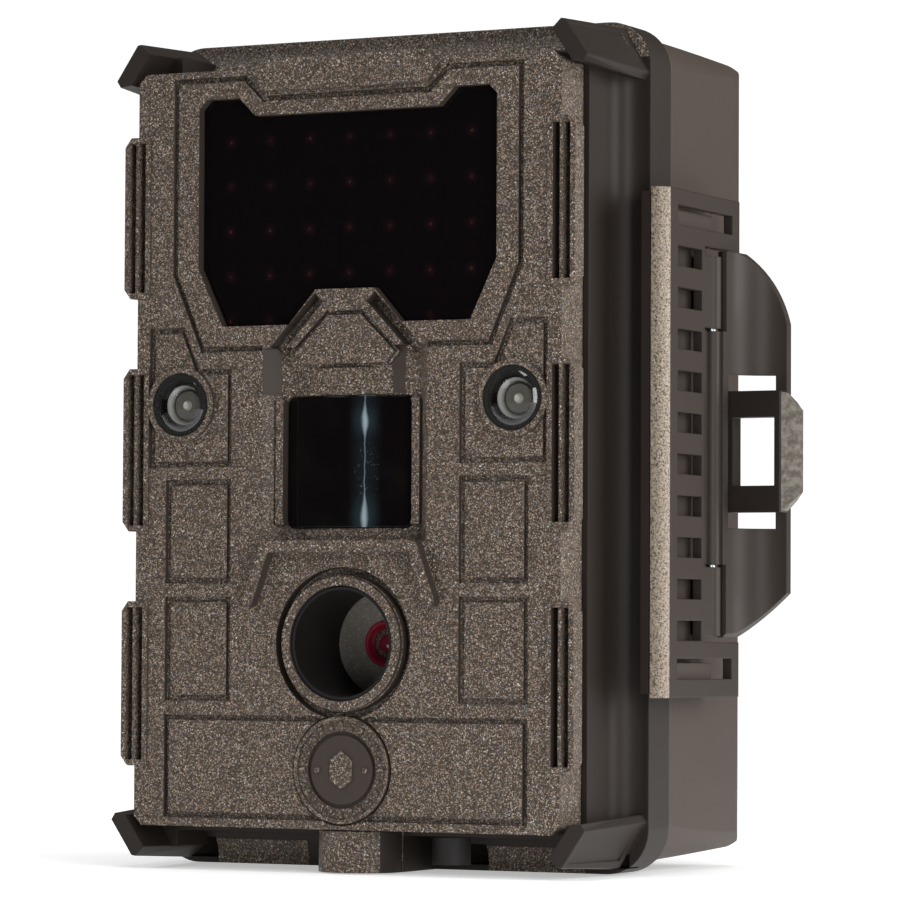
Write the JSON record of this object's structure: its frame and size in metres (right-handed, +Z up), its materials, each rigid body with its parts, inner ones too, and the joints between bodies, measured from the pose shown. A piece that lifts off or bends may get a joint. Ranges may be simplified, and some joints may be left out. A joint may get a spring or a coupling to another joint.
{
  "type": "trail camera",
  "caption": "Box camera for wildlife with a hinged two-half case, side latch, padlock staple, motion sensor, infrared lamp window, tripod socket and strap bracket.",
  "frame": {"origin": "mouth of the tripod socket, in the plane that the case stands on", "axes": "-Y towards what the camera looks at, +Z up, +X towards the latch side"},
  "size_m": [0.1158, 0.0776, 0.14],
  "materials": {
    "painted_plastic": "brown paint with fine metallic flakes",
    "smooth_plastic": "smooth dark brown moulded plastic, satin",
    "black_gloss": "black polished",
    "clear_lens": "clear moulded",
    "red_lens": "red coated glass",
    "red_ring": "red anodised look",
    "black_plastic": "fine texture",
    "board": "green solder mask",
    "lamp": "dark red epoxy",
    "steel": "zinc plated",
    "brass": "machined",
    "rubber": "soft matt",
    "key_rubber": "soft matt",
    "lcd_glass": "polished",
    "cell": "gloss sleeve",
    "card": "smooth",
    "filter": "coated glass"
  },
  "bodies": {
    "rear_case": {"rear_shell": "smooth_plastic", "strap_bracket": "black_plastic", "bracket_screws": "steel", "battery_tray": "black_plastic", "battery_cover": "smooth_plastic", "cover_screws": "steel", "aa_cells": "cell", "battery_springs": "steel", "contact_strips": "steel", "transfer_posts": "brass", "padlock_staple": "smooth_plastic", "lever_pin": "steel", "hinge_pin": "steel"},
    "front_case": {"front_housing": "smooth_plastic", "faceplate": "painted_plastic", "badge": "painted_plastic", "ir_window": "black_gloss", "pir_window": "black_gloss", "indicator_lens_left": "clear_lens", "indicator_lens_right": "clear_lens", "indicator_leds": "lamp", "ir_led_board": "board", "ir_leds": "lamp", "pir_sensor": "steel", "lens_tube": "black_gloss", "lens_holder": "black_plastic", "lens_barrel": "red_ring", "lens_glass": "red_lens", "filter_frame": "black_plastic", "image_sensor_board": "board", "main_board": "board", "control_panel": "smooth_plastic", "lcd_module": "lcd_glass", "lcd_window": "lcd_glass", "sd_socket": "steel", "usb_socket": "steel", "dc_jack": "black_plastic", "tripod_insert": "brass", "spring_pins": "brass", "panel_screws": "steel", "board_screws": "steel", "case_gasket": "rubber"},
    "lever": {"latch_lever": "smooth_plastic", "hook_pin": "steel"},
    "hook": {"latch_hook": "smooth_plastic"},
    "up_key": {"up_key": "key_rubber"},
    "down_key": {"down_key": "key_rubber"},
    "left_key": {"left_key": "key_rubber"},
    "right_key": {"right_key": "key_rubber"},
    "ok_key": {"ok_key": "key_rubber"},
    "menu_key": {"menu_key": "key_rubber"},
    "power_slider": {"power_switch": "black_plastic"},
    "card": {"sd_card": "card"},
    "power_plug": {"dc_plug": "rubber"},
    "filter_slider": {"ir_filter": "filter"}
  },
  "joints": [
    {"name": "case_hinge", "type": "hinge", "parent": "rear_case", "child": "front_case", "pos_m": [-0.049, 0.02, 0.07], "axis": [0, 0, -1], "range_deg": [0, 110]},
    {"name": "lever_hinge", "type": "hinge", "parent": "rear_case", "child": "lever", "pos_m": [0.0478, 0.0145, 0.07], "axis": [0, 0, -1], "range_deg": [0, 85]},
    {"name": "hook_hinge", "type": "hinge", "parent": "lever", "child": "hook", "pos_m": [0.05, 0.0278, 0.07], "axis": [0, 0, 1], "range_deg": [0, 85]},
    {"name": "up_key_press", "type": "slide", "parent": "front_case", "child": "up_key", "axis": [0, -1, 0], "range_m": [0, 0.0006], "stiffness_N_per_m": 600},
    {"name": "down_key_press", "type": "slide", "parent": "front_case", "child": "down_key", "axis": [0, -1, 0], "range_m": [0, 0.0006], "stiffness_N_per_m": 600},
    {"name": "left_key_press", "type": "slide", "parent": "front_case", "child": "left_key", "axis": [0, -1, 0], "range_m": [0, 0.0006], "stiffness_N_per_m": 600},
    {"name": "right_key_press", "type": "slide", "parent": "front_case", "child": "right_key", "axis": [0, -1, 0], "range_m": [0, 0.0006], "stiffness_N_per_m": 600},
    {"name": "ok_key_press", "type": "slide", "parent": "front_case", "child": "ok_key", "axis": [0, -1, 0], "range_m": [0, 0.0006], "stiffness_N_per_m": 600},
    {"name": "menu_key_press", "type": "slide", "parent": "front_case", "child": "menu_key", "axis": [0, -1, 0], "range_m": [0, 0.0006], "stiffness_N_per_m": 600},
    {"name": "power_switch_slide", "type": "slide", "parent": "front_case", "child": "power_slider", "axis": [1, 0, 0], "range_m": [-0.005, 0.005]},
    {"name": "card_slide", "type": "slide", "parent": "front_case", "child": "card", "axis": [0, 0, -1], "range_m": [0, 0.009]},
    {"name": "plug_pull", "type": "slide", "parent": "front_case", "child": "power_plug", "axis": [0, 0, -1], "range_m": [0, 0.012]},
    {"name": "filter_slide", "type": "slide", "parent": "front_case", "child": "filter_slider", "axis": [-1, 0, 0], "range_m": [0, 0.0054]}
  ],
  "couplings": [
    {"joint": "hook_hinge", "follows": "lever_hinge", "ratio": 1}
  ]
}
